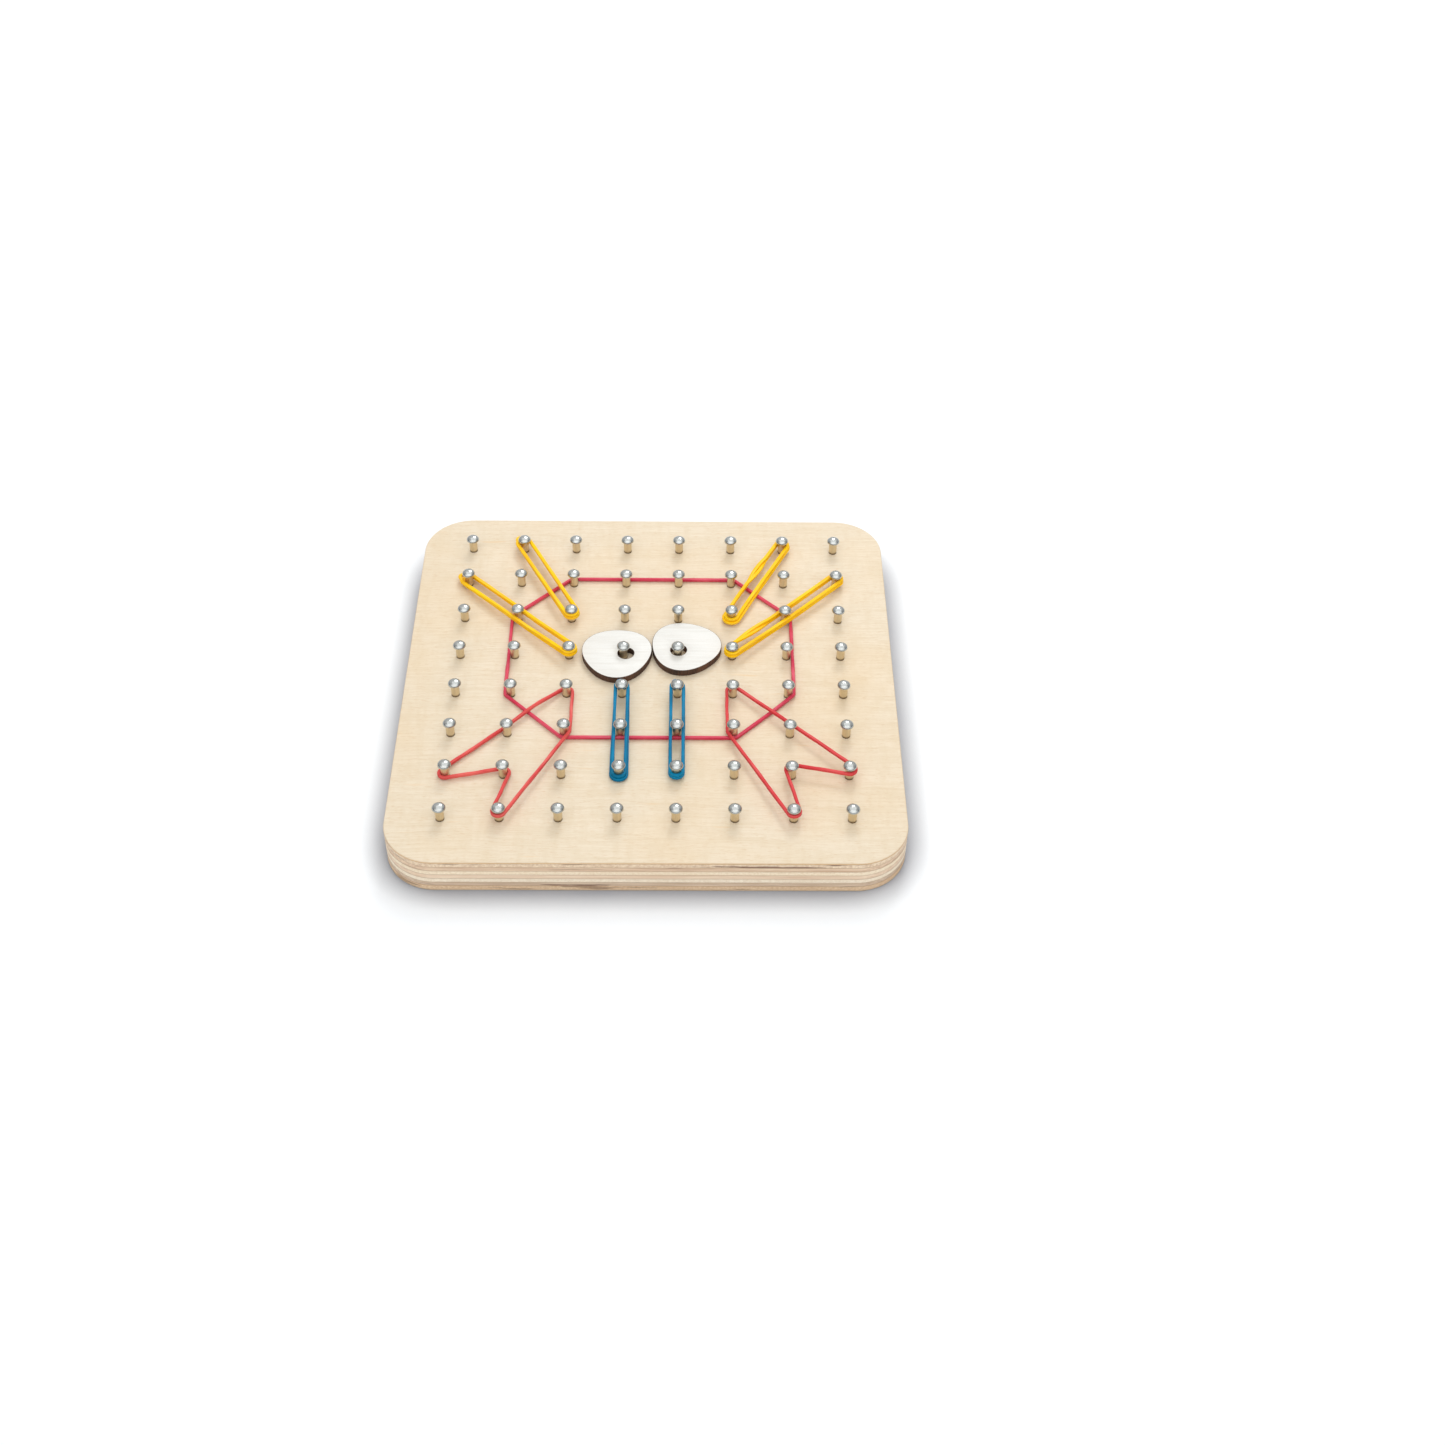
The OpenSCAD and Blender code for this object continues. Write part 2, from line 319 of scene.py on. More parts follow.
@dataclass(frozen=True)
class PlyEdge:
    """The sawn and sanded edge of one ply: fibre streaks, darker glue lines, and small voids whose dark
    colour is painted shade.
    """

    # End grain looks stippled and long grain looks lined; the fibres are drawn coarse to show
    name: str
    pale: str
    dark: str
    grain: Grain
    low: float
    high: float
    void: float = 0.0
    glue: str = "AA8868"
    # The voids' colour is painted shade, since they are sunk only by a bump
    void_shade: str = "7A5A46"
    streak_mm: float = 0.9
    fibre_mm: float = 0.28
    void_mm: float = 1.3
    cloud_mm: float = 22.0
    glue_mm: float = 0.14
    void_place: Point = (9.2, 4.6, 2.3)

    def material(self) -> bpy.types.Material:
        """Builds the ply's material."""
        material, tree, shader = new_material(self.name)
        place_on = add(tree, "ShaderNodeTexCoord").outputs["Object"]
        shift = (0.13 * self.low / MM, 0.07 * self.low / MM, 0.0)
        way = add(tree, "ShaderNodeMapping", {
            "Vector": place_on, "Scale": self.grain.value, "Location": shift})
        streaks = add(tree, "ShaderNodeTexNoise", {
            "Vector": way.outputs[0], "Scale": 1 / (self.streak_mm * MM), "Detail": 6.0, "Roughness": 0.65})
        fibres = add(tree, "ShaderNodeTexNoise", {
            "Vector": way.outputs[0], "Scale": 1 / (self.fibre_mm * MM), "Detail": 2.0})
        broad = add(tree, "ShaderNodeTexNoise", {
            "Vector": place_on, "Scale": 1 / (self.cloud_mm * MM), "Detail": 2.0})
        mask = add(tree, "ShaderNodeMapRange", {
            "Value": streaks.outputs["Fac"], "From Min": 0.35, "From Max": 0.68})
        colour = add(tree, "ShaderNodeMixRGB", {
            "Fac": mask.outputs[0], "Color1": linear(self.pale), "Color2": linear(self.dark)})
        broad_mask = add(tree, "ShaderNodeMapRange", {
            "Value": broad.outputs["Fac"], "From Min": 0.4, "From Max": 0.75, "To Max": 0.45})
        fibre_mask = add(tree, "ShaderNodeMapRange", {
            "Value": fibres.outputs["Fac"], "From Min": 0.5, "From Max": 0.75, "To Max": 0.35})
        for part in (broad_mask, fibre_mask):
            colour = add(tree, "ShaderNodeMixRGB", {
                "Fac": part.outputs[0], "Color1": colour.outputs[0], "Color2": linear(self.dark)})
        # Glue lines: the ply is browner just inside its two faces
        height = add(tree, "ShaderNodeSeparateXYZ", {"Vector": place_on}).outputs["Z"]
        middle = (self.low + self.high) / 2
        half = (self.high - self.low) / 2
        off = add(tree, "ShaderNodeMath", {0: height, 1: middle}, operation="SUBTRACT")
        away = add(tree, "ShaderNodeMath", {0: off.outputs[0]}, operation="ABSOLUTE")
        glue = add(tree, "ShaderNodeMapRange", {
            "Value": away.outputs[0], "From Min": half - 2.4 * self.glue_mm * MM, "From Max": half,
            "To Max": 0.55})
        colour = add(tree, "ShaderNodeMixRGB", {
            "Fac": glue.outputs[0], "Color1": colour.outputs[0], "Color2": linear(self.glue)})
        # Small voids: painted shade darkens them, and a bump sinks them
        void_way = add(tree, "ShaderNodeMapping", {
            "Vector": place_on, "Scale": (0.06, 0.06, 0.8), "Location": self.void_place})
        voids = add(tree, "ShaderNodeTexNoise", {
            "Vector": void_way.outputs[0], "Scale": 1 / (self.void_mm * MM), "Detail": 3.0, "Roughness": 0.5})
        void_mask = add(tree, "ShaderNodeMapRange", {
            "Value": voids.outputs["Fac"], "From Min": 0.61 - 0.05 * self.void,
            "From Max": 0.67 - 0.05 * self.void, "To Max": self.void})
        colour = add(tree, "ShaderNodeMixRGB", {
            "Fac": void_mask.outputs[0], "Color1": colour.outputs[0], "Color2": linear(self.void_shade)})
        tree.links.new(colour.outputs[0], shader.inputs["Base Color"])
        shader.inputs["Roughness"].default_value = 0.68
        bump = add(tree, "ShaderNodeBump", {
            "Height": streaks.outputs["Fac"], "Strength": 0.5, "Distance": 0.08 * MM})
        sunk = add(tree, "ShaderNodeBump", {
            "Height": void_mask.outputs[0], "Strength": 0.8, "Distance": 0.15 * MM,
            "Normal": bump.outputs[0]}, invert=True)
        tree.links.new(sunk.outputs[0], shader.inputs["Normal"])
        return material


@dataclass(frozen=True)
class BrightNickel:
    """Nickel-plated steel nail, barrel tumbled: mirror-like head, a shank tinted with a painted warm
    reflection of the board, and a painted contact shadow at its foot.
    """

    # The head mirrors the lights with fine scuffs; the shank is duller, so that it looks soft
    board_top: float
    head_mm: float
    name: str = "bright_nickel_plate"
    colour: str = "CCCFCD"
    # The shank's warm tan is a painted reflection of the board; the foot colour is a painted contact shadow
    shank: str = "DECFB0"
    foot: str = "66523A"
    scuffed: str = "A9ACAA"
    scuff_mm: float = 0.5

    def material(self) -> bpy.types.Material:
        """Builds the plating's material."""
        material, tree, shader = new_material(self.name)
        place_on = add(tree, "ShaderNodeTexCoord").outputs["Object"]
        scuffs = add(tree, "ShaderNodeTexNoise", {
            "Vector": place_on, "Scale": 1 / (self.scuff_mm * MM), "Detail": 4.0})
        rough = add(tree, "ShaderNodeMapRange", {
            "Value": scuffs.outputs["Fac"], "From Min": 0.3, "From Max": 0.75,
            "To Min": 0.1, "To Max": 0.24})
        tint = add(tree, "ShaderNodeMixRGB", {
            "Fac": scuffs.outputs["Fac"], "Color1": linear(self.colour), "Color2": linear(self.scuffed)})
        height = add(tree, "ShaderNodeSeparateXYZ", {"Vector": place_on}).outputs["Z"]
        under_head = self.board_top + self.head_mm * MM
        on_head = add(tree, "ShaderNodeMapRange", {
            "Value": height, "From Min": under_head - 0.2 * MM, "From Max": under_head})
        # Painted contact shadow: the shank darkens to the foot colour over its lowest millimetre
        clear_of_foot_shadow = add(tree, "ShaderNodeMapRange", {
            "Value": height, "From Min": self.board_top + 0.1 * MM, "From Max": self.board_top + 1.1 * MM})
        shank_reflection_and_shadow = add(tree, "ShaderNodeMixRGB", {
            "Fac": clear_of_foot_shadow.outputs[0], "Color1": linear(self.foot), "Color2": linear(self.shank)})
        plate = add(tree, "ShaderNodeMixRGB", {
            "Fac": on_head.outputs[0], "Color1": shank_reflection_and_shadow.outputs[0], "Color2": tint.outputs[0]})
        dull = add(tree, "ShaderNodeMapRange", {
            "Value": on_head.outputs[0], "To Min": 0.3, "To Max": 0.0})
        blurred = add(tree, "ShaderNodeMath", {0: rough.outputs[0], 1: dull.outputs[0]})
        tree.links.new(plate.outputs[0], shader.inputs["Base Color"])
        tree.links.new(blurred.outputs[0], shader.inputs["Roughness"])
        shader.inputs["Metallic"].default_value = 1.0
        bump = add(tree, "ShaderNodeBump", {
            "Height": scuffs.outputs["Fac"], "Strength": 0.12, "Distance": 0.02 * MM})
        tree.links.new(bump.outputs[0], shader.inputs["Normal"])
        return material


@dataclass(frozen=True)
class StretchedRubber:
    """Cut natural-rubber band, stretched: satin, paler where the stretch thins it, finely ribbed."""

    # Dense colour with long pale lines and a low gloss; the ribs are the cutter's marks
    name: str
    deep: str
    bright: str
    pale: str
    patch_mm: float = 9.0
    rib_mm: float = 0.22

    def material(self) -> bpy.types.Material:
        """Builds the rubber's material from the strand's own map: along, then round."""
        material, tree, shader = new_material(self.name)
        coords = add(tree, "ShaderNodeTexCoord")
        patches = add(tree, "ShaderNodeTexNoise", {
            "Vector": coords.outputs["Object"], "Scale": 1 / (self.patch_mm * MM), "Detail": 3.0})
        along = add(tree, "ShaderNodeMapping", {
            "Vector": coords.outputs["UV"], "Scale": (1 / (14 * MM), 1 / (0.9 * MM), 1)})
        lines = add(tree, "ShaderNodeTexNoise", {"Vector": along.outputs[0], "Scale": 1.0, "Detail": 3.0})
        ribs = add(tree, "ShaderNodeTexNoise", {
            "Vector": coords.outputs["Object"], "Scale": 1 / (self.rib_mm * MM), "Detail": 2.0})
        patch_mask = add(tree, "ShaderNodeMapRange", {
            "Value": patches.outputs["Fac"], "From Min": 0.35, "From Max": 0.7})
        line_mask = add(tree, "ShaderNodeMapRange", {
            "Value": lines.outputs["Fac"], "From Min": 0.45, "From Max": 0.8, "To Max": 0.5})
        body = add(tree, "ShaderNodeMixRGB", {
            "Fac": patch_mask.outputs[0], "Color1": linear(self.deep), "Color2": linear(self.bright)})
        colour = add(tree, "ShaderNodeMixRGB", {
            "Fac": line_mask.outputs[0], "Color1": body.outputs[0], "Color2": linear(self.pale)})
        tree.links.new(colour.outputs[0], shader.inputs["Base Color"])
        rough = add(tree, "ShaderNodeMapRange", {
            "Value": ribs.outputs["Fac"], "To Min": 0.38, "To Max": 0.62})
        tree.links.new(rough.outputs[0], shader.inputs["Roughness"])
        shader.inputs["Specular IOR Level"].default_value = 0.15
        fine = add(tree, "ShaderNodeBump", {
            "Height": ribs.outputs["Fac"], "Strength": 0.3, "Distance": 0.03 * MM})
        bump = add(tree, "ShaderNodeBump", {
            "Height": lines.outputs["Fac"], "Strength": 0.4, "Distance": 0.06 * MM,
            "Normal": fine.outputs[0]})
        tree.links.new(bump.outputs[0], shader.inputs["Normal"])
        return material


@dataclass(frozen=True)
class PrintedWhite:
    """White ink printed flat on a thin wooden disc: matt, with the wood's grain just showing."""

    # An even off-white in which only the grain's faint relief is seen
    name: str = "printed_white_face"
    white: str = "E4E3DE"
    shade: str = "D9D6CF"

    def material(self) -> bpy.types.Material:
        """Builds the printed face's material."""
        material, tree, shader = new_material(self.name)
        place_on = add(tree, "ShaderNodeTexCoord").outputs["Object"]
        way = add(tree, "ShaderNodeMapping", {"Vector": place_on, "Scale": (0.06, 1, 1)})
        grain = add(tree, "ShaderNodeTexNoise", {
            "Vector": way.outputs[0], "Scale": 1 / (0.8 * MM), "Detail": 4.0})
        ink = add(tree, "ShaderNodeTexNoise", {"Vector": place_on, "Scale": 1 / (0.3 * MM), "Detail": 2.0})
        both = add(tree, "ShaderNodeMixRGB", {
            "Fac": 0.4, "Color1": grain.outputs["Fac"], "Color2": ink.outputs["Fac"]})
        mask = add(tree, "ShaderNodeMapRange", {
            "Value": both.outputs[0], "From Min": 0.4, "From Max": 0.7})
        colour = add(tree, "ShaderNodeMixRGB", {
            "Fac": mask.outputs[0], "Color1": linear(self.white), "Color2": linear(self.shade)})
        tree.links.new(colour.outputs[0], shader.inputs["Base Color"])
        shader.inputs["Roughness"].default_value = 0.5
        bump = add(tree, "ShaderNodeBump", {
            "Height": both.outputs[0], "Strength": 0.25, "Distance": 0.03 * MM})
        tree.links.new(bump.outputs[0], shader.inputs["Normal"])
        return material


@dataclass(frozen=True)
class CharredEdge:
    """Laser-cut edge of thin wood: burnt dark brown, with upright burn lines."""

    # Between nearly black and dark brown, and matt, like char
    name: str = "laser_charred_edge"
    dark: str = "2C1B14"
    brown: str = "62402B"

    def material(self) -> bpy.types.Material:
        """Builds the burnt edge's material."""
        material, tree, shader = new_material(self.name)
        place_on = add(tree, "ShaderNodeTexCoord").outputs["Object"]
        way = add(tree, "ShaderNodeMapping", {"Vector": place_on, "Scale": (1, 1, 0.12)})
        lines = add(tree, "ShaderNodeTexNoise", {
            "Vector": way.outputs[0], "Scale": 1 / (0.5 * MM), "Detail": 4.0})
        broad = add(tree, "ShaderNodeTexNoise", {"Vector": place_on, "Scale": 1 / (5 * MM), "Detail": 2.0})
        both = add(tree, "ShaderNodeMixRGB", {
            "Fac": 0.5, "Color1": lines.outputs["Fac"], "Color2": broad.outputs["Fac"]})
        mask = add(tree, "ShaderNodeMapRange", {
            "Value": both.outputs[0], "From Min": 0.38, "From Max": 0.66})
        colour = add(tree, "ShaderNodeMixRGB", {
            "Fac": mask.outputs[0], "Color1": linear(self.dark), "Color2": linear(self.brown)})
        tree.links.new(colour.outputs[0], shader.inputs["Base Color"])
        shader.inputs["Roughness"].default_value = 0.75
        bump = add(tree, "ShaderNodeBump", {
            "Height": lines.outputs["Fac"], "Strength": 0.5, "Distance": 0.08 * MM})
        tree.links.new(bump.outputs[0], shader.inputs["Normal"])
        return material


# ---- Board ----------------------------------------------------------------------------


@dataclass(frozen=True)
class Ply:
    """One layer of the board, and how its edge looks."""

    node: str
    slot: str
    pale: str
    dark: str
    grain: Grain
    recess: float
    void: float = 0.0


@dataclass
class Board:
    """The plywood board: two face veneers and seven core plies, drilled for the nails."""

    corner_mm: float = 18.0
    corner_steps: int = 20
    worn_edge_mm: float = 0.45
    seam_mm: float = 0.07
    hole_mm: float = 1.52
    plies: tuple[Ply, ...] = (
        Ply("core_ply_1", "brown_ply", "F4E2C6", "D0B294", Grain.ALONG_Y, 0.03, 0.85),
        Ply("core_ply_2", "dark_ply", "EED6B8", "C8A68A", Grain.ALONG_X, 0.08, 0.35),
        Ply("core_ply_3", "cream_ply", "F8EAD2", "E6D0B0", Grain.ALONG_Y, 0.02),
        Ply("core_ply_4", "brown_ply", "F4E0C6", "DABA9C", Grain.ALONG_X, 0.06),
        Ply("core_ply_5", "cream_ply", "FAEED8", "E8D6BC", Grain.ALONG_Y, 0.02),
        Ply("core_ply_6", "grey_ply", "E8D2B8", "BEA288", Grain.ALONG_X, 0.07, 0.75),
        Ply("core_ply_7", "orange_ply", "F2D8B6", "D6B28C", Grain.ALONG_Y, 0.03, 0.6),
    )

    def slab(self, node: str, recess: float) -> bpy.types.Object:
        """Models one layer: a block with rounded corners.

        Args:
            node: The CAD node whose place it takes.
            recess: How far its edge stands back, in millimetres.

        Returns:
            The layer, not yet drilled.
        """
        low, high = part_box(node)
        deselect()
        bpy.ops.mesh.primitive_cube_add(size=1, location=(low + high) / 2)
        piece = bpy.context.object
        piece.name = piece.data.name = node.replace("core_ply", "ply_layer") + "_sanded"
        size = high - low
        piece.scale = (size.x - 2 * recess * MM, size.y - 2 * recess * MM, size.z)
        settle(piece)
        select_in_edit(piece, "EDGE", lambda e: abs(e.verts[0].co.z - e.verts[1].co.z) > size.z / 2)
        bpy.ops.mesh.bevel(offset=self.corner_mm * MM, segments=self.corner_steps, affect="EDGES")
        bpy.ops.object.mode_set(mode="OBJECT")
        return piece

    def ease(self, piece: bpy.types.Object, top: float, bottom: float) -> None:
        """Rounds a layer's upper and lower edges.

        Args:
            piece: The layer.
            top: The upper edge's width in millimetres.
            bottom: The lower edge's width.
        """
        heights = [v.co.z for v in piece.data.vertices]
        for level, width in ((max(heights), top), (min(heights), bottom)):
            select_in_edit(piece, "EDGE", lambda e: all(abs(v.co.z - level) < 0.01 * MM for v in e.verts))
            steps = 4 if width > 0.2 else 1
            bpy.ops.mesh.bevel(offset=width * MM, segments=steps, affect="EDGES")
        bpy.ops.object.mode_set(mode="OBJECT")

    def build(self, drill: bpy.types.Object) -> list[bpy.types.Object]:
        """Builds, drills and dresses every layer.

        Args:
            drill: The nails' holes as one solid.

        Returns:
            The layers, from the top down.
        """
        face = BasswoodFace().material()
        layers = []
        for node in ("face_veneer_top", "face_veneer_bottom"):
            layer = self.slab(node, 0.0)
            top = node == "face_veneer_top"
            self.ease(layer, self.worn_edge_mm if top else self.seam_mm,
                      self.seam_mm if top else self.worn_edge_mm * 0.8)
            layer.data.materials.append(face)
            layers.append((layer, node, "face_veneer"))
        for ply in self.plies:
            layer = self.slab(ply.node, ply.recess)
            self.ease(layer, self.seam_mm, self.seam_mm)
            low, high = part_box(ply.node)
            layer.data.materials.append(PlyEdge(
                f"sawn_{ply.node}_edge", ply.pale, ply.dark, ply.grain, low.z, high.z, ply.void).material())
            layers.append((layer, ply.node, ply.slot))
        reach = min(v.co.z for v in drill.data.vertices)
        for layer, node, slot in layers:
            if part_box(node)[1].z > reach:
                apply_modifier(layer, "BOOLEAN", operation="DIFFERENCE", solver="EXACT", object=drill)
            smooth(layer, 40)
            place(layer, "board", [node])
        return [layer for layer, _, _ in layers]


# ---- Nails ----------------------------------------------------------------------------


@dataclass
class Nails:
    """The grid of domed nails, a row to a piece."""

    rows: int = 8
    shank_mm: float = 1.5
    head_mm: float = 2.4
    under_head_mm: float = 5.3
    rim_mm: float = 0.12
    dome_mm: float = 1.48
    shank_depth_mm: float = 8.2
    tip_mm: float = 1.5
    sides: int = 32
    dome_steps: int = 7

    def centres(self, row: int) -> list[Vector]:
        """Where the nails of a row stand on the board.

        Args:
            row: The row's number, from 1.

        Returns:
            The nails' feet, worked out from the row's CAD box.
        """
        low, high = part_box(f"pin_row_{row}")
        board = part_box("face_veneer_top")[1].z
        first, last = low.x + self.head_mm * MM, high.x - self.head_mm * MM
        step = (last - first) / (self.rows - 1)
        return [Vector((first + i * step, (low.y + high.y) / 2, board)) for i in range(self.rows)]

    def grow(self, radius_from: float, radius_to: float, rise: float) -> None:
        """Extrudes the selected end and brings it to a new radius.

        Args:
            radius_from: The end's present radius in millimetres.
            radius_to: The radius that it is brought to.
            rise: How far it is moved up in millimetres.
        """
        bpy.ops.mesh.extrude_region_move(TRANSFORM_OT_translate={"value": (0, 0, rise * MM)})
        k = radius_to / radius_from
        bpy.ops.transform.resize(value=(k, k, 1))

    def turned_blank(self, radius: float, low: float, high: float, name: str) -> bpy.types.Object:
        """A round bar, ready to be shaped.

        Args:
            radius: Its radius in millimetres.
            low: The height of its lower end in millimetres.
            high: The height of its upper end.
            name: Its name.

        Returns:
            The bar.
        """
        deselect()
        bpy.ops.mesh.primitive_cylinder_add(
            vertices=self.sides, radius=radius * MM, depth=(high - low) * MM,
            location=(0, 0, (low + high) / 2 * MM))
        piece = bpy.context.object
        piece.name = piece.data.name = name
        settle(piece)
        return piece

    def nail(self) -> bpy.types.Object:
        """Models one nail at the origin, with the board's surface at height 0."""
        piece = self.turned_blank(self.shank_mm, -self.shank_depth_mm, self.under_head_mm, "nail")
        select_in_edit(piece, "FACE", lambda f: f.normal.z > 0.9)
        self.grow(self.shank_mm, self.shank_mm * 1.1, 0.0)
        self.grow(self.shank_mm * 1.1, self.head_mm - 0.08, 0.0)
        self.grow(self.head_mm - 0.08, self.head_mm, 0.07)
        self.grow(self.head_mm, self.head_mm, self.rim_mm - 0.07)
        radius, height = self.head_mm, 0.0
        for i in range(1, self.dome_steps + 1):
            a = math.pi / 2 * i / (self.dome_steps + 0.25)
            wide, tall = self.head_mm * math.cos(a), self.dome_mm * math.sin(a)
            self.grow(radius, wide, tall - height)
            radius, height = wide, tall
        self.grow(radius, radius * 0.3, self.dome_mm - height)
        select_in_edit(piece, "FACE", lambda f: f.normal.z < -0.9 and f.calc_center_median().z < 0)
        self.grow(self.shank_mm, self.shank_mm * 0.55, -self.tip_mm * 0.5)
        self.grow(self.shank_mm * 0.55, self.shank_mm * 0.05, -self.tip_mm * 0.48)
        bpy.ops.object.mode_set(mode="OBJECT")
        return piece

    def drill(self, hole_mm: float) -> bpy.types.Object:
        """Models every nail's hole as one solid, for cutting the layers.

        Args:
            hole_mm: The holes' radius.

        Returns:
            The holes.
        """
        one = self.turned_blank(hole_mm, -self.shank_depth_mm, 3.0, "drill")
        select_in_edit(one, "FACE", lambda f: f.normal.z < -0.9)
        self.grow(hole_mm, hole_mm * 0.05, -self.tip_mm - 0.05)
        bpy.ops.object.mode_set(mode="OBJECT")
        holes = [copied(one, at) for row in range(1, self.rows + 1) for at in self.centres(row)]
        bpy.data.objects.remove(one)
        whole = join(holes, "drill")
        settle(whole)
        return whole

    def build(self) -> list[bpy.types.Object]:
        """Builds and dresses the nails, row by row."""
        plating = BrightNickel(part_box("face_veneer_top")[1].z, self.under_head_mm).material()
        pattern = self.nail()
        pattern.data.materials.append(plating)
        smooth(pattern, 40)
        rows = []
        for row in range(1, self.rows + 1):
            piece = join([copied(pattern, at) for at in self.centres(row)], f"nails_row_{row}")
            settle(piece)
            place(piece, "board", [f"pin_row_{row}"])
            rows.append(piece)
        bpy.data.objects.remove(pattern)
        return rows


# ---- Bands ----------------------------------------------------------------------------


@dataclass(frozen=True)
class Stop:
    """A pin that a band goes round: its column, row, side, the height there, and what follows."""

    column: int
    row: int
    side: int
    height: float
    on_way: Knots = ()
    half_turns: float = 0.0


@dataclass(frozen=True)
class Sample:
    """One ring of a strand: its middle, and how the section is turned and swollen there."""

    at: Vector
    twist: float = 0.0
    swell: float = 1.0


def height_on_way(t: float, knots: list[tuple[float, float]]) -> float:
    """The height part of the way along a stretch, with its corners slightly eased.

    Args:
        t: Part of the way, from 0 to 1.
        knots: Pairs of part of the way and height.

    Returns:
        The height.
    """
    def straight(u: float) -> float:
        """Height on the straight line between two knots."""
        u = min(1.0, max(0.0, u))
        for (t0, z0), (t1, z1) in zip(knots, knots[1:]):
            if u <= t1:
                return z0 + (z1 - z0) * (u - t0) / max(t1 - t0, 1e-9)
        return knots[-1][1]
    ease = 0.035
    return (straight(t - ease) + 2 * straight(t) + straight(t + ease)) / 4


LEG_STRAND_MM = 1.34


@dataclass
class Strand:
    """A strand of cut rubber, and the mesh that carries its section along a route.

    Sizes are in millimetres.
    """

    wide: float = 1.12
    tall: float = 1.3
    doubled_tall: float = 1.1
    corner: float = 0.34
    corner_steps: int = 3

    def section(self, tall: float) -> list[tuple[float, float]]:
        """The strand's section, a rectangle with rounded corners.

        Args:
            tall: Its height.

        Returns:
            Its outline's points.
        """
        points = []
        for quarter, (sx, sy) in enumerate(((1, 1), (-1, 1), (-1, -1), (1, -1))):
            cx, cy = sx * (self.wide / 2 - self.corner), sy * (tall / 2 - self.corner)
            for k in range(self.corner_steps + 1):
                a = math.pi / 2 * (quarter + k / self.corner_steps)
                points.append((cx + self.corner * math.cos(a), cy + self.corner * math.sin(a)))
        return points

    def mesh(self, name: str, route: list[Sample], tall: float) -> bpy.types.Object:
        """Sweeps the section round a closed route.

        Args:
            name: The piece's name.
            route: The rings, in metres.
            tall: The strand's height in millimetres.

        Returns:
            The closed strand, with a map that runs along it and round it.
        """
        outline = self.section(tall)
        n, m = len(route), len(outline)
        verts, lengths = [], [0.0]
        for i, ring in enumerate(route):
            before, after = route[i - 1].at, route[(i + 1) % n].at
            along = ((ring.at - before).normalized() + (after - ring.at).normalized()).normalized()
            aside = Vector((along.y, -along.x, 0)).normalized()
            up = aside.cross(along)
            c, s = math.cos(ring.twist), math.sin(ring.twist)
            for x, y in outline:
                u, v = (x * c - y * s) * ring.swell * MM, (x * s + y * c) * ring.swell * MM
                verts.append(ring.at + aside * u + up * v)
            lengths.append(lengths[-1] + (after - ring.at).length)
        faces, maps = [], []
        for i in range(n):
            for k in range(m):
                k2, i2 = (k + 1) % m, (i + 1) % n
                faces.append((i * m + k, i * m + k2, i2 * m + k2, i2 * m + k))
                round_from, round_to = k * 0.3 * MM, (k + 1) * 0.3 * MM
                maps.extend(((lengths[i], round_from), (lengths[i], round_to),
                             (lengths[i + 1], round_to), (lengths[i + 1], round_from)))
        data = bpy.data.meshes.new(name)
        data.from_pydata(verts, [], faces)
        layer = data.uv_layers.new(name="along_and_round")
        for loop, uv in zip(layer.data, maps):
            loop.uv = uv
        piece = bpy.data.objects.new(name, data)
        bpy.context.scene.collection.objects.link(piece)
        work = bmesh.new()
        work.from_mesh(data)
        bmesh.ops.recalc_face_normals(work, faces=work.faces)
        work.to_mesh(data)
        work.free()
        smooth(piece, 70)
        return piece


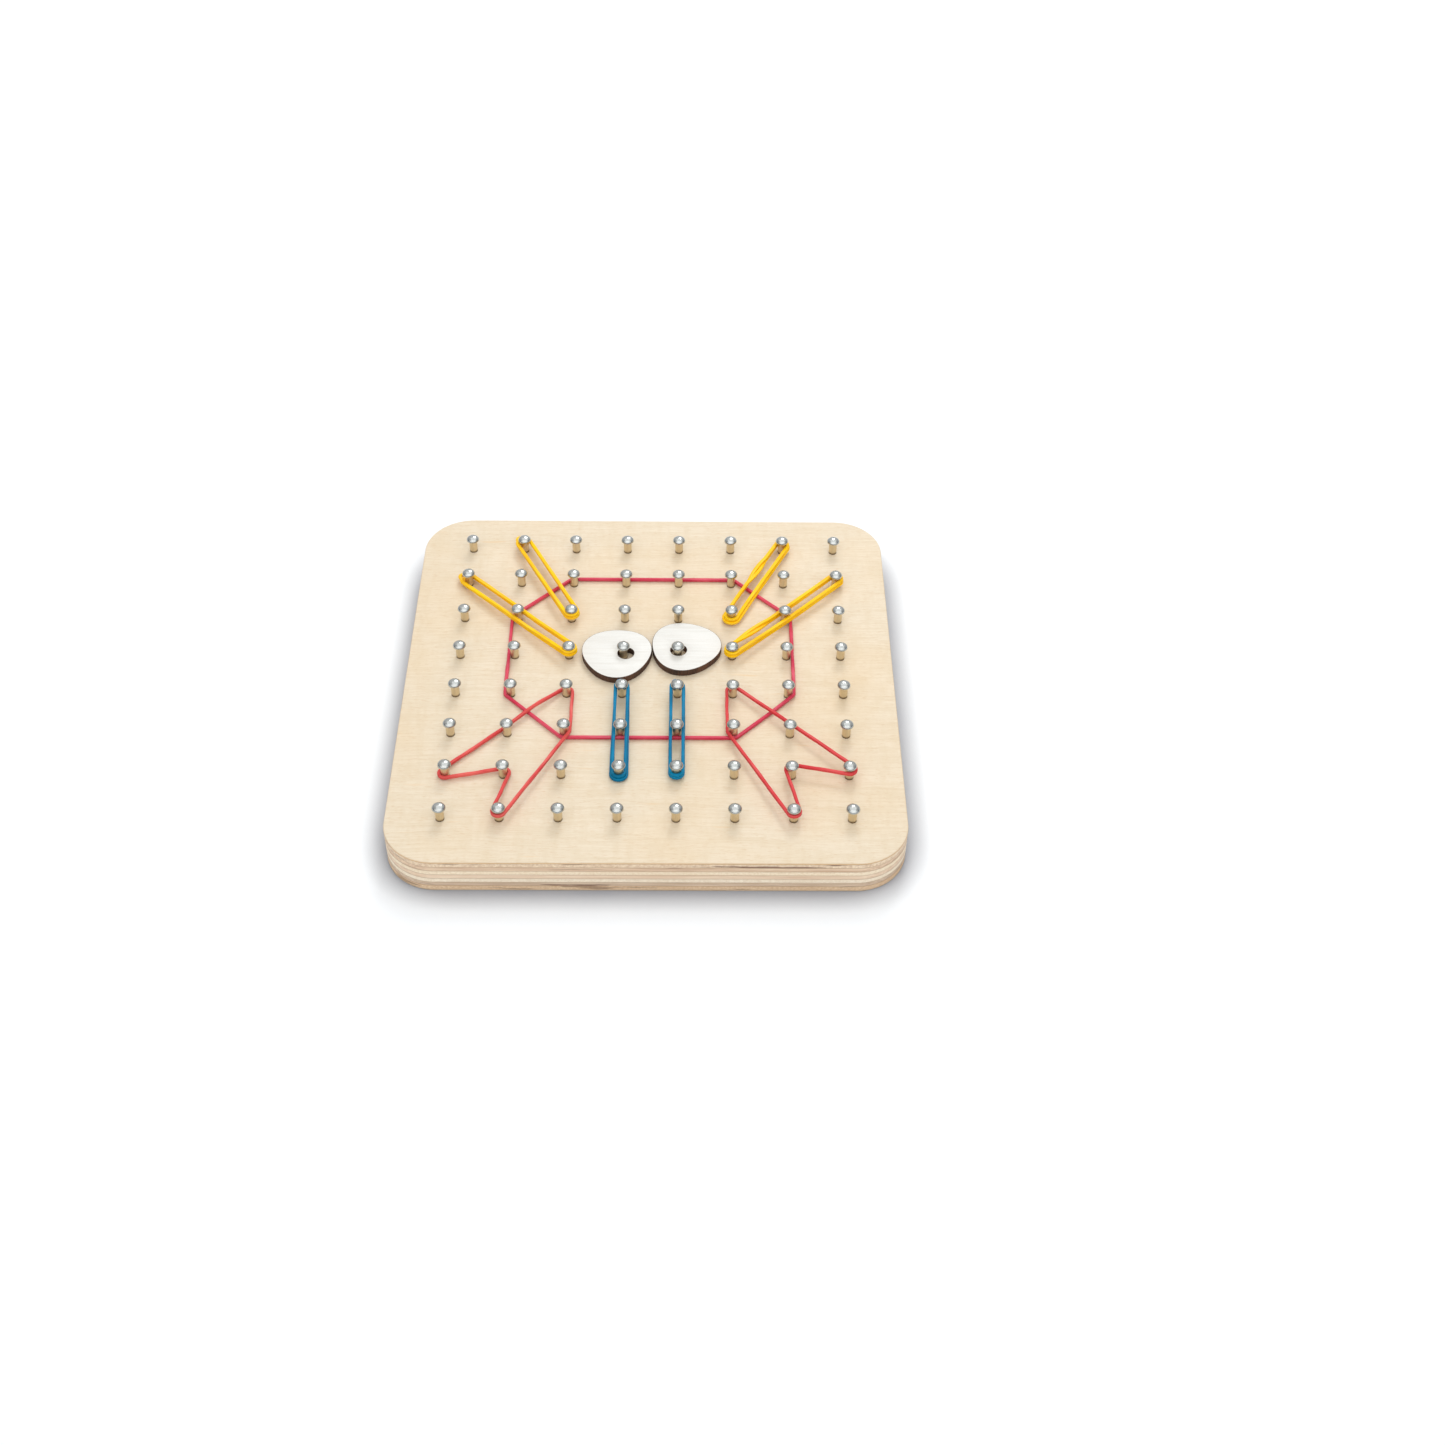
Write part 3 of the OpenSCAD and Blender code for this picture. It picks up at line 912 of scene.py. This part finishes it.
@dataclass
class Weaver:
    """Works out the routes that bands take round the pins."""

    nails: Nails
    strand: Strand = field(default_factory=Strand)
    play_mm: float = 0.13
    arc_degrees: float = 12.0
    step_mm: float = 1.6
    gap_mm: float = 0.06

    def __post_init__(self) -> None:
        """Reads the pins' places from the frame."""
        self.grid = [self.nails.centres(row) for row in range(1, self.nails.rows + 1)]
        self.wrap = self.nails.shank_mm + self.strand.wide / 2 + self.play_mm

    def pin(self, column: int, row: int) -> Vector:
        """The foot of a pin."""
        return self.grid[row - 1][column - 1]

    def tangent(self, a: Vector, b: Vector, side_a: int, side_b: int,
                wrap_a: float, wrap_b: float) -> tuple[Vector, Vector]:
        """The straight stretch between two pins.

        Args:
            a: The first pin's foot.
            b: The second pin's foot.
            side_a: 1 with the first pin on the left of the way, -1 with it on the right.
            side_b: The same for the second pin.
            wrap_a: The radius of the band round the first pin, in millimetres.
            wrap_b: The radius round the second.

        Returns:
            Where the band leaves the first pin and where it meets the second.
        """
        way = Vector((b.x - a.x, b.y - a.y, 0))
        along = way.normalized()
        out = Vector((along.y, -along.x, 0))
        s = (side_a * wrap_a - side_b * wrap_b) * MM / way.length
        w = out * math.sqrt(1 - s * s) + along * s
        return a + w * side_a * wrap_a * MM, b + w * side_b * wrap_b * MM

    def arc(self, centre: Vector, side: int, start: Vector, end: Vector) -> list[Vector]:
        """The stretch of a band that lies round a pin.

        Args:
            centre: The pin's foot.
            side: 1 with the pin on the left of the way, -1 with it on the right.
            start: Where the band meets the pin.
            end: Where the band leaves it.

        Returns:
            Points along the stretch.
        """
        a0 = math.atan2(start.y - centre.y, start.x - centre.x)
        a1 = math.atan2(end.y - centre.y, end.x - centre.x)
        sweep = ((a1 - a0) * side) % (2 * math.pi)
        if sweep > 2 * math.pi - 0.02:
            sweep = 0.0
        steps = math.ceil(math.degrees(sweep) / self.arc_degrees)
        r0, r1 = (start - centre).length, (end - centre).length
        points = []
        for k in range(steps + 1):
            t = k / max(steps, 1)
            a, r = a0 + side * sweep * t, r0 + (r1 - r0) * t
            points.append(centre + Vector((r * math.cos(a), r * math.sin(a), 0)))
        return points

    def single(self, stops: tuple[Stop, ...], liveliness: float) -> list[Sample]:
        """The route of a band that goes once round its pins.

        Args:
            stops: Its pins, anticlockwise.
            liveliness: How much the strand swells, thins and wavers between pins.

        Returns:
            The rings of the strand.
        """
        n = len(stops)
        ways = []
        for i, a in enumerate(stops):
            b = stops[(i + 1) % n]
            ways.append(self.tangent(self.pin(a.column, a.row), self.pin(b.column, b.row),
                                     a.side, b.side, self.wrap, self.wrap))
        samples, turned = [], 0.0
        for i, stop in enumerate(stops):
            after = stops[(i + 1) % n]
            start, end = ways[i]
            for p in self.arc(self.pin(stop.column, stop.row), stop.side, ways[i - 1][1], start):
                samples.append(Sample(p + Vector((0, 0, stop.height * MM)), turned))
            knots = [(0.0, stop.height), *stop.on_way, (1.0, after.height)]
            steps = max(3, round((end - start).length / (self.step_mm * MM)))
            out = Vector((start.y - end.y, end.x - start.x, 0)).normalized()
            for k in range(1, steps):
                t = k / steps
                inside = math.sin(math.pi * t)
                phase = 2.7 * i + 0.9
                waver = 0.16 * liveliness * inside * math.sin(9.4 * t + phase)
                swell = 1 + liveliness * inside * (0.1 * math.sin(21 * t + phase) + 0.06 * math.sin(37 * t))
                twist = turned + math.pi * stop.half_turns * t * t * (3 - 2 * t)
                twist += 0.35 * liveliness * inside * math.sin(7.0 * t + phase)
                p = start.lerp(end, t) + out * waver * MM
                samples.append(Sample(p + Vector((0, 0, height_on_way(t, knots) * MM)), twist, swell))
            turned += math.pi * stop.half_turns
        return samples


@dataclass(frozen=True)
class SingleBand:
    """A band that goes once round its pins."""

    body: str
    piece: str
    stops: tuple[Stop, ...]
    liveliness: float

    def route(self, weaver: Weaver) -> list[Sample]:
        """The band's rings."""
        return weaver.single(self.stops, self.liveliness)


@dataclass(frozen=True)
class DoubledBand:
    """A band wound twice round two pins, its turns stacked.

    The turns change places part of the way along, or behind the first pin if that is None.
    """

    body: str
    piece: str
    first: tuple[int, int, float]
    last: tuple[int, int, float]
    on_way: Knots
    swap_at: float | None
    fan: tuple[float, float] = (0.1, 0.1)
    swap_span: float = 0.36

    def turn(self, weaver: Weaver, level: int) -> list[Sample]:
        """One turn of the band, from one level at the first pin to the other at its end.

        Args:
            weaver: Knows the pins and the strand.
            level: -1 to start as the lower strand, 1 as the upper one.

        Returns:
            The turn's rings.
        """
        a, b = weaver.pin(*self.first[:2]), weaver.pin(*self.last[:2])
        half = (weaver.strand.doubled_tall + weaver.gap_mm) / 2
        shift = (weaver.strand.wide + weaver.gap_mm) / 2
        fan_a, fan_b = self.fan

        def wrap(low: float, fan: float) -> float:
            """Radius round a pin: the lower strand lies further out."""
            return weaver.wrap + fan * (1 - low) / 2

        ra, rb = wrap(level, fan_a), wrap(-level, fan_b)
        out = weaver.tangent(a, b, 1, 1, ra, rb)
        back = weaver.tangent(b, a, 1, 1, rb, wrap(-level, fan_a))
        knots = [(0.0, self.first[2]), *self.on_way, (1.0, self.last[2])]
        side = Vector((out[1].y - out[0].y, out[0].x - out[1].x, 0)).normalized()
        samples = []

        def ring(p: Vector, z: float, twist: float = 0.0, swell: float = 1.0) -> None:
            """Adds a ring at a height in millimetres."""
            samples.append(Sample(Vector((p.x, p.y, a.z + z * MM)), twist, swell))

        # The turn before this one arrived at the first pin on this turn's level
        arrived = weaver.tangent(b, a, 1, 1, wrap(level, fan_b), wrap(level, fan_a))
        bend = weaver.arc(a, 1, arrived[1], out[0])
        for k, p in enumerate(bend):
            done = min(1.0, max(0.0, 2 * k / (len(bend) - 1) - 0.5))
            roll = math.pi * done if self.swap_at is None else 0.0
            outward = (p - a).normalized() * (1 - level) * shift * math.sin(roll) * MM
            ring(p + outward, self.first[2] + level * half * math.cos(roll))
        steps = round((out[1] - out[0]).length / (weaver.step_mm * MM) * 1.6)
        for k in range(1, steps):
            t = k / steps
            done = 1.0 if self.swap_at is None else (t - self.swap_at) / self.swap_span + 0.5
            roll = math.pi * min(1.0, max(0.0, done))
            p = out[0].lerp(out[1], t) + side * level * shift * math.sin(roll) * MM
            ring(p, height_on_way(t, knots) + level * half * math.cos(roll),
                 0.12 * math.sin(6 * t + level), 1 + 0.03 * math.sin(17 * t + level))
        for p in weaver.arc(b, 1, out[1], back[0]):
            ring(p, self.last[2] - level * half)
        steps = round((back[1] - back[0]).length / (weaver.step_mm * MM))
        for k in range(1, steps):
            t = k / steps
            ring(back[0].lerp(back[1], t), height_on_way(1 - t, knots) - level * half,
                 0.1 * math.sin(5 * t - level), 1 + 0.03 * math.sin(15 * t - level))
        return samples

    def route(self, weaver: Weaver) -> list[Sample]:
        """The band's rings, both turns."""
        return self.turn(weaver, -1) + self.turn(weaver, 1)


# Heights of a strand's middle, or of two stacked turns', above the board in millimetres
LOW, OVER = 0.85, 2.27
STACK_OVER, STACK_HIGH = 2.75, 3.9
# Over the shell band between two pins: part of the way, and height
BRIDGE: Knots = ((0.38, STACK_OVER), (0.62, STACK_OVER))

BANDS = (
    SingleBand("body_band", "shell_outline_band", (
        Stop(3, 2, 1, LOW), Stop(2, 3, 1, LOW), Stop(2, 4, 1, LOW, ((0.5, 0.92),), 1.0), Stop(2, 5, 1, LOW),
        Stop(3, 6, 1, LOW), Stop(4, 6, 1, LOW), Stop(5, 6, 1, LOW),
        Stop(6, 6, 1, LOW, ((0.65, LOW),)), Stop(7, 5, 1, 1.4, (), 1.0),
        Stop(7, 4, 1, 0.95, ((0.7, 0.94),), -1.0),
        Stop(7, 3, 1, LOW), Stop(6, 2, 1, LOW), Stop(5, 2, 1, LOW), Stop(4, 2, 1, LOW),
    ), 0.1),
    SingleBand("claw_band_left", "left_claw_band", (
        Stop(3, 5, 1, 1.2, ((0.4, OVER), (0.6, OVER))), Stop(2, 6, 1, 1.2), Stop(1, 7, 1, 1.2),
        Stop(2, 7, -1, 1.3), Stop(2, 8, 1, 3.9), Stop(3, 6, 1, OVER),
    ), 0.5),
    SingleBand("claw_band_right", "right_claw_band", (
        Stop(6, 5, 1, OVER), Stop(6, 6, 1, OVER), Stop(7, 8, 1, 4.1),
        Stop(7, 7, -1, 3.7), Stop(8, 7, 1, 3.8), Stop(7, 6, 1, 3.1),
    ), 0.4),
    DoubledBand("leg_band_left_upper", "left_upper_leg_band",
                (2, 1, 3.3), (3, 3, STACK_HIGH), (), None, (0.5, 0.15)),
    DoubledBand("leg_band_left_lower", "left_lower_leg_band",
                (1, 2, 2.0), (3, 4, STACK_HIGH), BRIDGE, None, (0.6, 0.15)),
    DoubledBand("leg_band_right_upper", "right_upper_leg_band",
                (7, 1, STACK_OVER), (6, 3, 2.1), ((0.76, STACK_OVER),), 0.4, (0.2, 0.6)),
    DoubledBand("leg_band_right_lower", "right_lower_leg_band",
                (8, 2, 3.1), (6, 4, 3.6), ((0.38, STACK_OVER), (0.58, STACK_OVER)), 0.8),
    DoubledBand("mouth_band_left", "left_mouth_band",
                (4, 5, STACK_HIGH), (4, 7, 1.6), BRIDGE, None, (0.1, 0.6)),
    DoubledBand("mouth_band_right", "right_mouth_band",
                (5, 5, STACK_HIGH), (5, 7, 2.3), BRIDGE, None, (0.1, 0.15)),
)

RUBBERS = {
    "crimson_rubber": StretchedRubber("crimson_rubber", "C8344E", "D84E62", "EA8698"),
    "coral_rubber": StretchedRubber("coral_rubber", "CE3E42", "E05A54", "EE8E84"),
    "red_rubber": StretchedRubber("red_rubber", "CC363C", "DA484A", "EC7A76"),
    "yellow_rubber": StretchedRubber("yellow_rubber", "F6BA00", "FFCE02", "FFE066"),
    "blue_rubber": StretchedRubber("blue_rubber", "00648A", "0080AC", "0A9CC4"),
}


@dataclass
class Bands:
    """Every rubber band on the board."""

    weaver: Weaver
    leg_weaver: Weaver

    def build(self) -> list[bpy.types.Object]:
        """Builds and dresses the bands."""
        slots = {s["node"]: s["material_slot"] for s in frame["record"]["subparts"]}
        finishes = {slot: rubber.material() for slot, rubber in RUBBERS.items()}
        pieces = []
        for band in BANDS:
            weaver = self.leg_weaver if band.body.startswith("leg_") else self.weaver
            tall = weaver.strand.doubled_tall if isinstance(band, DoubledBand) else weaver.strand.tall
            piece = weaver.strand.mesh(band.piece, band.route(weaver), tall)
            piece.data.materials.append(finishes[slots[band.body]])
            place(piece, band.body, [band.body])
            pieces.append(piece)
        return pieces


# ---- Eye discs ------------------------------------------------------------------------


@dataclass
class EyeDisc:
    """A thin wooden disc with soft lobes, printed white, with a hole that drops over a pin."""

    node: str
    pin: Vector
    middle_mm: tuple[float, float]
    hole_at_mm: tuple[float, float]
    lobe_degrees: float
    radius_mm: float = 12.75
    lobe_mm: float = 0.6
    hole_mm: float = 3.0
    edge_mm: float = 0.16
    sides: int = 144

    def build(self, paint: bpy.types.Material, char: bpy.types.Material) -> bpy.types.Object:
        """Models the disc and gives it its printed face and burnt edges.

        Args:
            paint: The upper face's finish.
            char: The finish of the edges and the underside's rim.

        Returns:
            The disc.
        """
        low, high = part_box(self.node)
        centre = self.pin + Vector((*self.middle_mm, 0)) * MM
        centre.z = (low.z + high.z) / 2
        deselect()
        bpy.ops.mesh.primitive_cylinder_add(
            vertices=self.sides, radius=self.radius_mm * MM, depth=high.z - low.z, location=centre)
        piece = bpy.context.object
        piece.name = piece.data.name = self.node.replace("eye_disc", "lobed_eye")
        settle(piece)
        for v in piece.data.vertices:
            x, y = v.co.x - centre.x, v.co.y - centre.y
            swell = self.lobe_mm * MM * math.cos(3 * (math.atan2(y, x) - math.radians(self.lobe_degrees)))
            k = 1 + swell / math.hypot(x, y)
            v.co.x, v.co.y = centre.x + x * k, centre.y + y * k
        deselect()
        at = self.pin + Vector((*self.hole_at_mm, 0)) * MM
        bpy.ops.mesh.primitive_cylinder_add(
            vertices=64, radius=self.hole_mm * MM, depth=0.02, location=(at.x, at.y, centre.z))
        punch = bpy.context.object
        apply_modifier(piece, "BOOLEAN", operation="DIFFERENCE", solver="EXACT", object=punch)
        bpy.data.objects.remove(punch)
        apply_modifier(piece, "BEVEL", width=self.edge_mm * MM, segments=2, limit_method="ANGLE",
                       angle_limit=math.radians(60))
        piece.data.materials.clear()
        piece.data.materials.append(paint)
        piece.data.materials.append(char)
        for face in piece.data.polygons:
            face.material_index = 0 if face.normal.z > 0.99 else 1
        smooth(piece, 50)
        place(piece, self.node, [self.node])
        return piece


# ---- Studio ---------------------------------------------------------------------------


@dataclass
class Studio:
    """A pale floor, soft light from above, and the camera."""

    target_mm: Point = (26.2, -23.2, 14.4)
    distance_mm: float = 686.0
    elevation: float = 45.46
    azimuth: float = -1.3
    roll: float = -1.17
    lens_mm: float = 47.9
    paper: str = "F1F4F7"
    # Grey of the floor's painted contact shadow
    painted_shadow_grey: str = "A2A6AE"
    shelter_mm: float = 15.0

    def camera(self) -> None:
        """Sets the camera, looking down at the board from the front."""
        el, az, roll = (math.radians(a) for a in (self.elevation, self.azimuth, self.roll))
        back = Vector((math.sin(az) * math.cos(el), -math.cos(az) * math.cos(el), math.sin(el)))
        right = (-back).cross(Vector((0, 0, 1))).normalized()
        up = back.cross(right)
        right, up = (math.cos(roll) * right - math.sin(roll) * up,
                     math.sin(roll) * right + math.cos(roll) * up)
        data = bpy.data.cameras.new("camera")
        data.lens = self.lens_mm
        data.clip_start, data.clip_end = 0.01, 20
        camera = bpy.data.objects.new("camera", data)
        camera.matrix_world = Matrix.Translation(
            Vector(self.target_mm) * MM + back * self.distance_mm * MM
        ) @ Matrix((right, up, back)).transposed().to_4x4()
        bpy.context.scene.collection.objects.link(camera)
        bpy.context.scene.camera = camera

    def softbox(self, name: str, at: Point, size: float, power: float) -> None:
        """Adds a square soft light that faces the board.

        Args:
            name: The light's name.
            at: Where it hangs, in metres.
            size: Its side in metres.
            power: Its power in watts.
        """
        data = bpy.data.lights.new(name, "AREA")
        data.size, data.energy = size, power
        light = bpy.data.objects.new(name, data)
        light.location = at
        light.rotation_euler = (-Vector(at)).to_track_quat("-Z", "Y").to_euler()
        bpy.context.scene.collection.objects.link(light)

    def floor(self) -> None:
        """Lays the floor, a sheet of paper whose colour holds a painted contact shadow close to what stands
        on it.
        """
        deselect()
        bpy.ops.mesh.primitive_plane_add(size=8, location=(0, 0, 0))
        floor = bpy.context.object
        floor.name = "studio_floor"
        material, tree, shader = new_material("matt_white_paper")
        # Painted contact shadow: the paper turns grey where things near it shut out the sky
        shelter = add(tree, "ShaderNodeAmbientOcclusion", {"Distance": self.shelter_mm * MM}, samples=16)
        open_sky = add(tree, "ShaderNodeMapRange", {
            "Value": shelter.outputs["AO"], "From Min": 0.52, "From Max": 0.9})
        tint = add(tree, "ShaderNodeMixRGB", {
            "Fac": open_sky.outputs[0], "Color1": linear(self.painted_shadow_grey), "Color2": linear(self.paper)})
        tree.links.new(tint.outputs[0], shader.inputs["Base Color"])
        shader.inputs["Roughness"].default_value = 0.9
        floor.data.materials.append(material)

    def surroundings(self) -> None:
        """Lights the studio all round: a white ceiling, darker walls, and a bright front."""
        world = bpy.data.worlds.new("studio_fill")
        world.use_nodes = True
        tree = world.node_tree
        direction = add(tree, "ShaderNodeTexCoord").outputs["Generated"]
        parts = add(tree, "ShaderNodeSeparateXYZ", {"Vector": direction})
        height, toward = parts.outputs["Z"], parts.outputs["Y"]
        dome = add(tree, "ShaderNodeMapRange", {
            "Value": height, "From Min": 0.0, "From Max": 0.8, "To Min": 0.1, "To Max": 0.56})
        front = add(tree, "ShaderNodeMapRange", {
            "Value": toward, "From Min": 0.0, "From Max": -1.0, "To Min": 0.0, "To Max": 1.5})
        raised = add(tree, "ShaderNodeMapRange", {"Value": height, "From Min": 0.12, "From Max": 0.42})
        front = add(tree, "ShaderNodeMath", {0: front.outputs[0], 1: raised.outputs[0]}, operation="MULTIPLY")
        back = add(tree, "ShaderNodeMapRange", {
            "Value": toward, "From Min": 0.0, "From Max": 1.0, "To Min": 0.0, "To Max": 0.5})
        ends = add(tree, "ShaderNodeMath", {0: front.outputs[0], 1: back.outputs[0]})
        bright = add(tree, "ShaderNodeMath", {0: dome.outputs[0], 1: ends.outputs[0]})
        tree.links.new(bright.outputs[0], tree.nodes["Background"].inputs["Strength"])
        tree.nodes["Background"].inputs["Color"].default_value = (1, 1, 1, 1)
        bpy.context.scene.world = world

    def build(self) -> None:
        """Builds the camera, the lights, the sky's fill and the floor."""
        self.camera()
        self.softbox("overhead_softbox", (0.06, 0.0, 1.1), 1.4, 4.1)
        self.softbox("back_softbox", (0.16, 0.9, 0.9), 0.42, 3.9)
        self.surroundings()
        bpy.context.scene.view_settings.view_transform = "Standard"
        self.floor()


def main() -> None:
    """Builds the whole scene in order."""
    logging.basicConfig(level=logging.INFO, format="%(name)s: %(message)s")
    Studio().build()
    nails = Nails()
    board = Board()
    drill = nails.drill(board.hole_mm)
    board.build(drill)
    bpy.data.objects.remove(drill)
    nails.build()
    weaver = Weaver(nails)
    Bands(weaver, Weaver(nails, Strand(wide=LEG_STRAND_MM))).build()
    paint, char = PrintedWhite().material(), CharredEdge().material()
    for disc in (
        EyeDisc("eye_disc_left", weaver.pin(4, 4), (-2.4, -0.56), (0.92, -0.9), 32),
        EyeDisc("eye_disc_right", weaver.pin(5, 4), (2.8, 3.09), (0.26, 0.92), 10),
    ):
        disc.build(paint, char)


if __name__ == "__main__":
    main()
